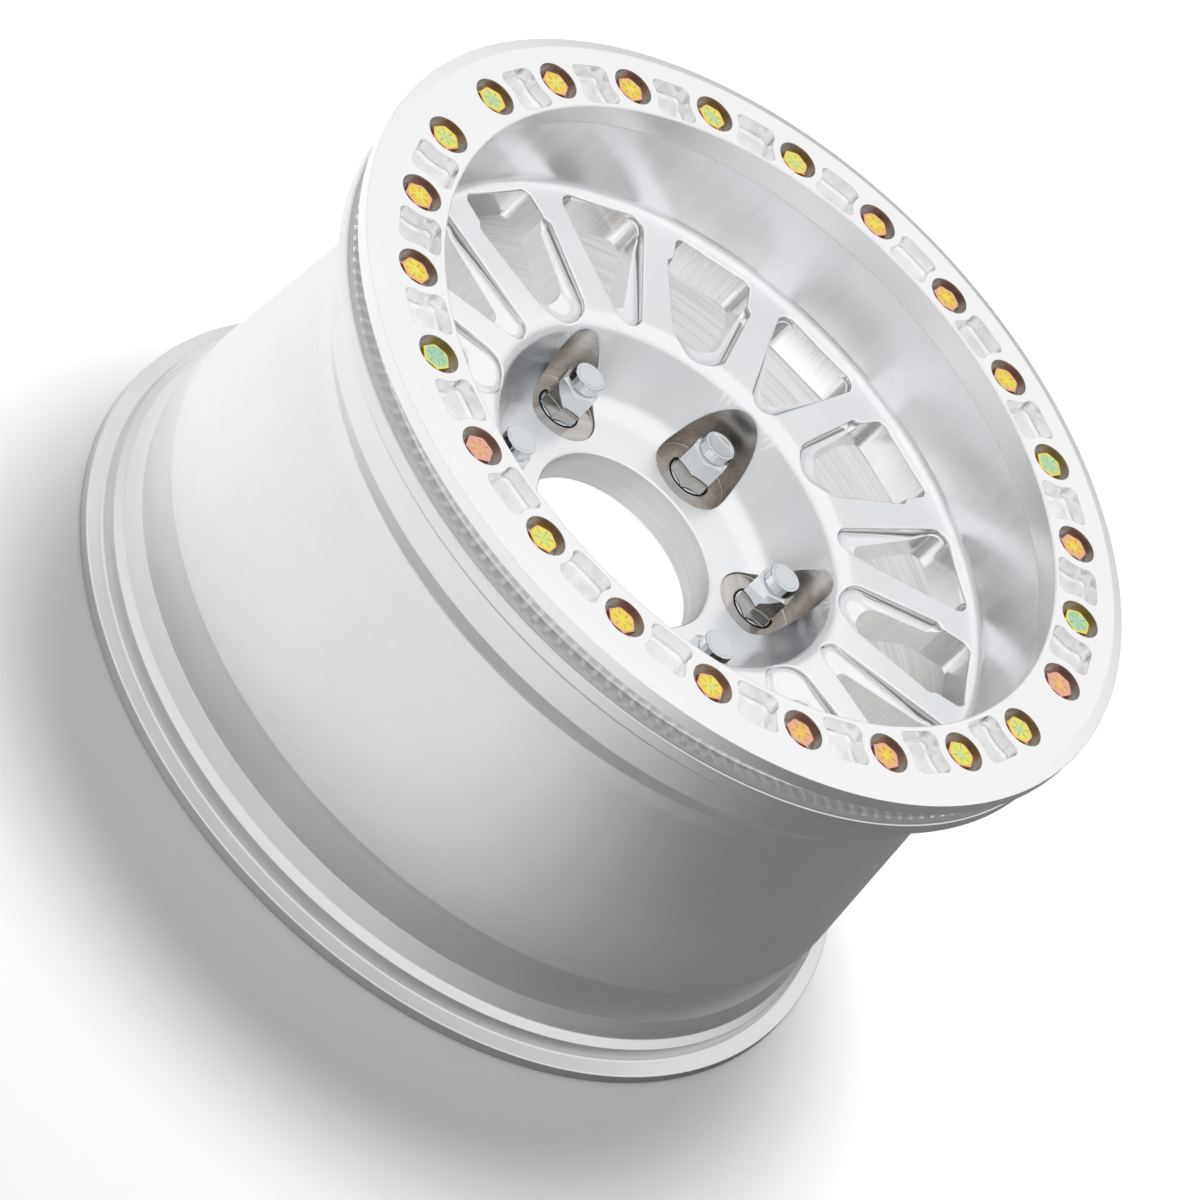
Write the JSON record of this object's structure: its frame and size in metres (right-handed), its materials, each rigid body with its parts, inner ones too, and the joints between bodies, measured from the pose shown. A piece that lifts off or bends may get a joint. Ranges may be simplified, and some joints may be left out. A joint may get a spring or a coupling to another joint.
{
  "type": "beadlock wheel",
  "caption": "Forged off-road wheel with windowed spokes and a bolted front ring that clamps the outer tyre bead.",
  "frame": {"origin": "centre of the lug circle on the hub's mounting face", "axes": "+Z along the wheel's axis toward the outboard side, +X and +Y in the mounting face"},
  "size_m": [0.4736, 0.4736, 0.2555],
  "materials": {
    "machined_aluminium": "machined and polished",
    "ring_aluminium": "fine satin",
    "yellow_zinc": "iridescent yellow zinc plate",
    "chrome_steel": "polished chrome",
    "valve_metal": "nickel plate",
    "core_brass": "plain",
    "black_rubber": "matte"
  },
  "bodies": {
    "root": {"wheel": "machined_aluminium", "beadlock_ring": "ring_aluminium", "ring_bolts": "yellow_zinc", "ring_washers": "yellow_zinc", "lug_nuts": "chrome_steel", "valve_stem": "valve_metal", "valve_seal": "black_rubber", "valve_nut": "valve_metal", "valve_core": "core_brass", "valve_cap": "valve_metal"}
  },
  "joints": []
}
